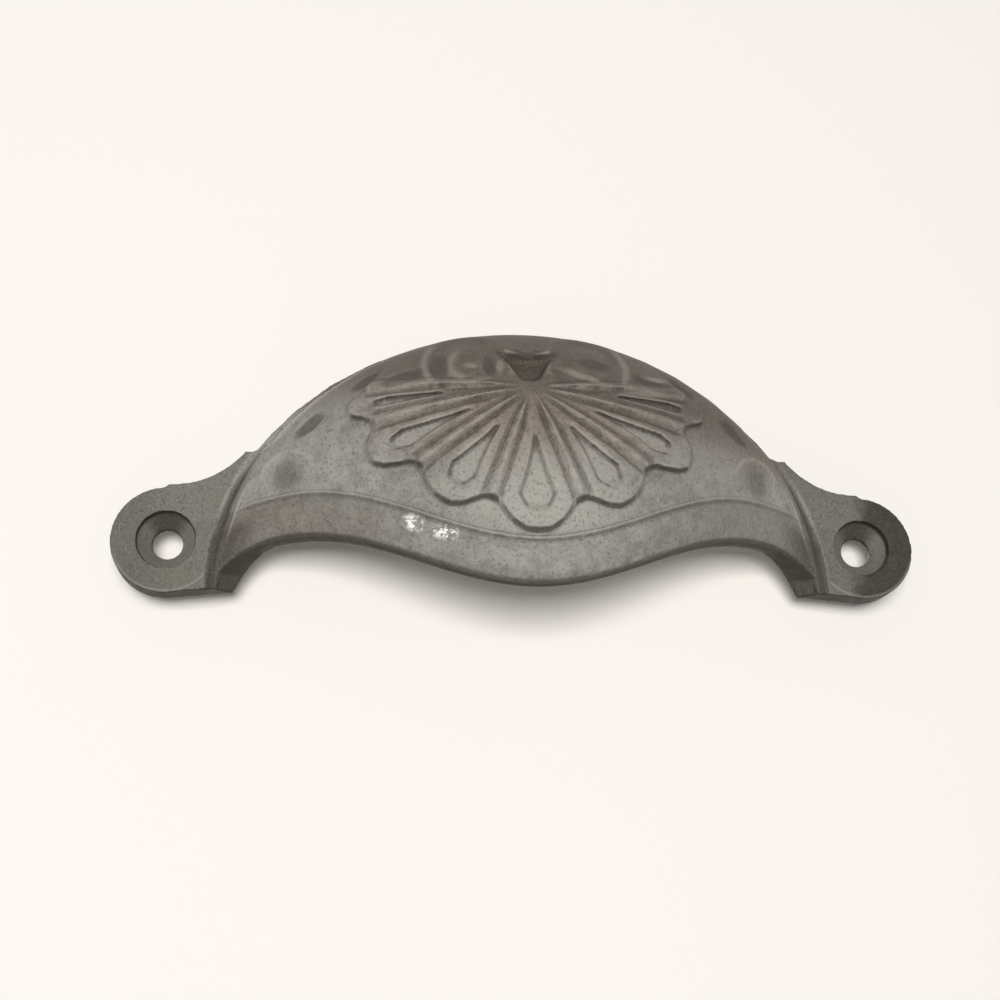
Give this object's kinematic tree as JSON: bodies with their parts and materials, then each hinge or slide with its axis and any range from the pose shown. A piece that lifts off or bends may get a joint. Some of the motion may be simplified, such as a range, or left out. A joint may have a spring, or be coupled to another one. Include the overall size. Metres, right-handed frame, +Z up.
{
  "type": "cup drawer pull",
  "caption": "Cast iron cup pull for a drawer, with a fluted shell on its face, a wavy lower lip and a recessed screw hole in each ear.",
  "frame": {"origin": "midway between the two screw holes, on the flat back face", "axes": "+X along the pull, to the right as a person faces the drawer, +Z up, -Y out of the drawer front"},
  "size_m": [0.1406, 0.0252, 0.0522],
  "materials": {
    "raw_iron": "raw grey casting with a rusty brown tint in its hollows"
  },
  "bodies": {
    "root": {"pull_casting": "raw_iron"}
  },
  "joints": []
}
